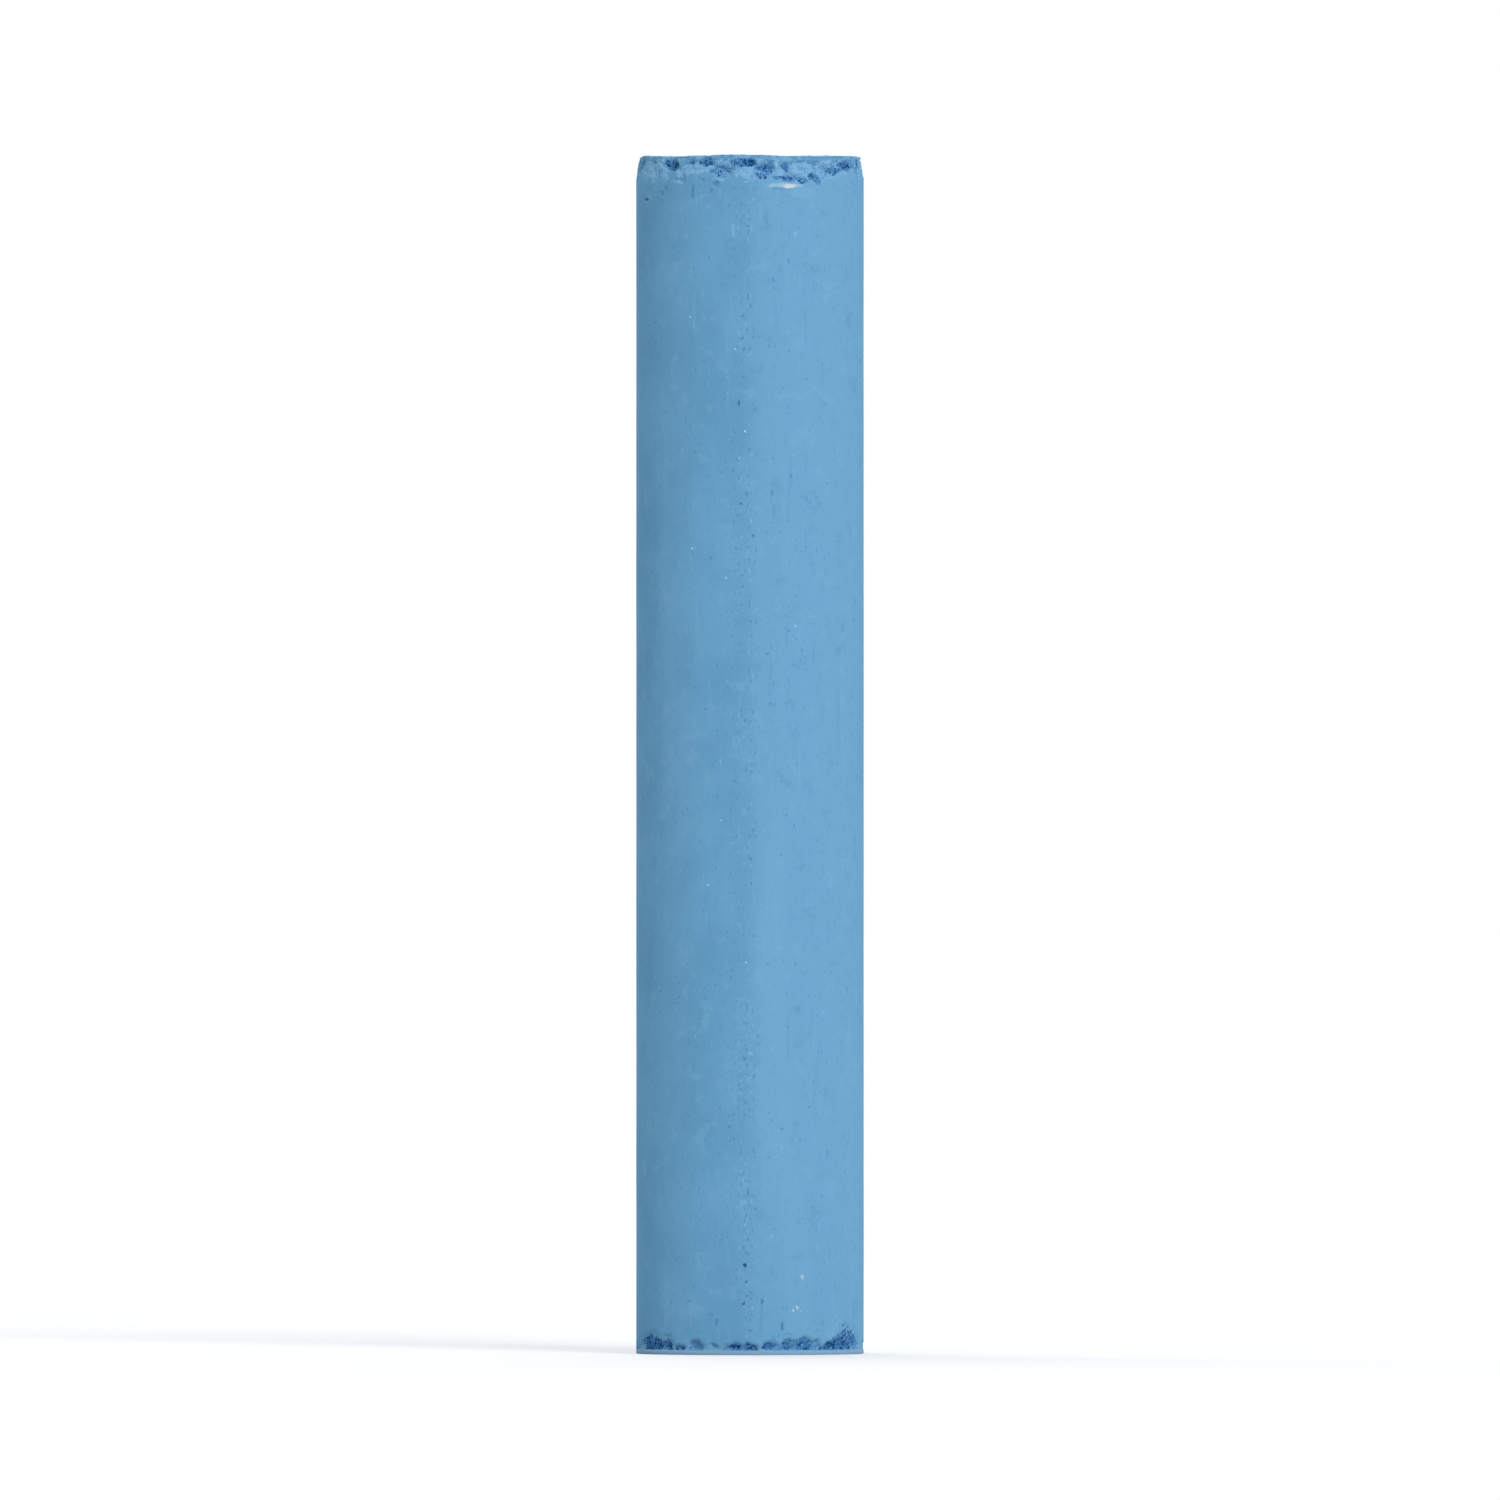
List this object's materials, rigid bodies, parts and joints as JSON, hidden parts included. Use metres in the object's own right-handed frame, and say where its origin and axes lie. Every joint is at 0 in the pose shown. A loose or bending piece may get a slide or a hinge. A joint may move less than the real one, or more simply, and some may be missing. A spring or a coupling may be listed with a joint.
{
  "type": "chalk stick",
  "caption": "Thick round stick of light blue pressed chalk for writing and drawing, with one crumbled end and one flat lipped end.",
  "frame": {"origin": "centre of the flat lipped end face, which the stick stands on", "axes": "+Z along the stick towards the crumbled end, -Y towards the front of the picture, +X to its right"},
  "size_m": [0.02, 0.02, 0.105],
  "materials": {
    "chalk": "matte, dusty skin with darker blue where it is chipped"
  },
  "bodies": {
    "root": {"chalk_stick": "chalk"}
  },
  "joints": []
}
